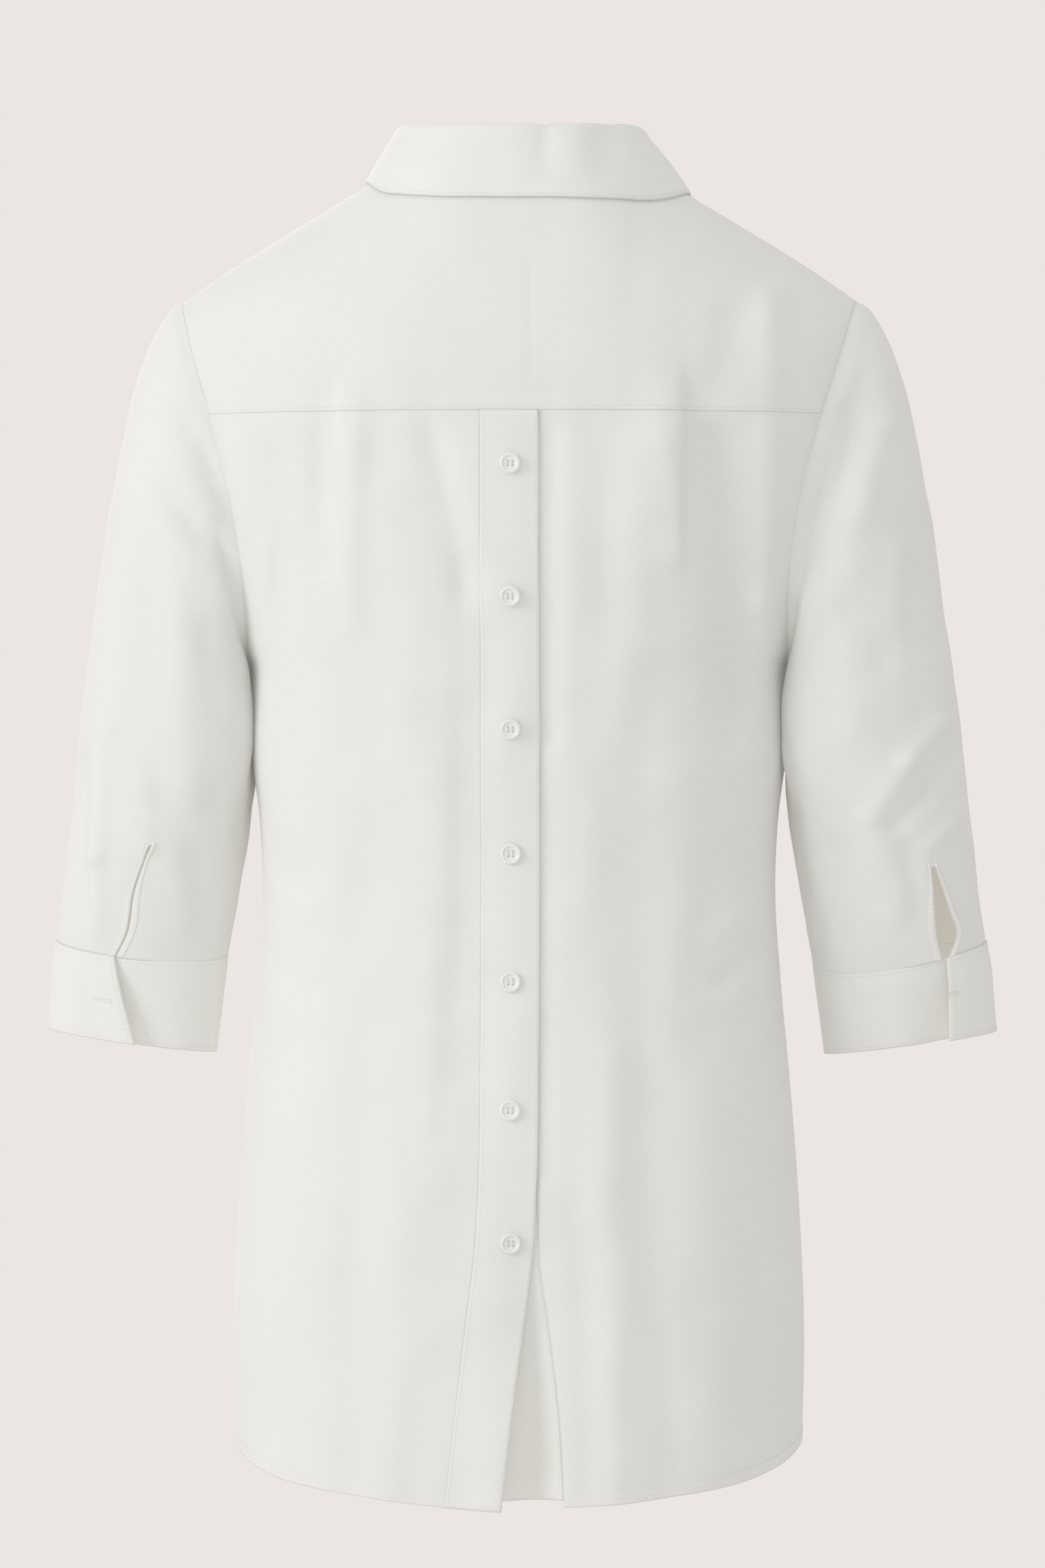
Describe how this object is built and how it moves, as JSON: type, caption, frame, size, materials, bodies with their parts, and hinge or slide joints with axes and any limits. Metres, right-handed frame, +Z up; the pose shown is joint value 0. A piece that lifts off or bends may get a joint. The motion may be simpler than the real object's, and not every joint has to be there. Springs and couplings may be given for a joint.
{
  "type": "blouse",
  "caption": "Long-sleeved woven blouse with a shirt collar, a yoke, a buttoned placket down the back, banded cuffs and a curved hem, filled out as if worn.",
  "frame": {"origin": "middle of the neck opening, level with the points where the collar meets the shoulder seams", "axes": "+Z up, +Y towards the wearer's front, +X towards the wearer's right"},
  "size_m": [0.539, 0.2343, 0.7625],
  "materials": {
    "cloth": "off-white plain-weave cotton, matt",
    "bands": "the same cloth in two layers with sewn edges",
    "buttons": "white resin, soft gloss"
  },
  "bodies": {
    "root": {"back_yoke": "cloth", "back_panel_left": "cloth", "back_panel_right": "cloth", "button_placket": "bands", "button_stand": "bands", "front_panel": "cloth", "sleeve_left": "cloth", "sleeve_right": "cloth", "slit_binding_left": "bands", "slit_binding_right": "bands", "cuff_left": "bands", "cuff_right": "bands", "collar_stand": "bands", "collar_leaf": "bands", "button_1": "buttons", "button_2": "buttons", "button_3": "buttons", "button_4": "buttons", "button_5": "buttons", "button_6": "buttons", "button_7": "buttons"}
  },
  "joints": []
}
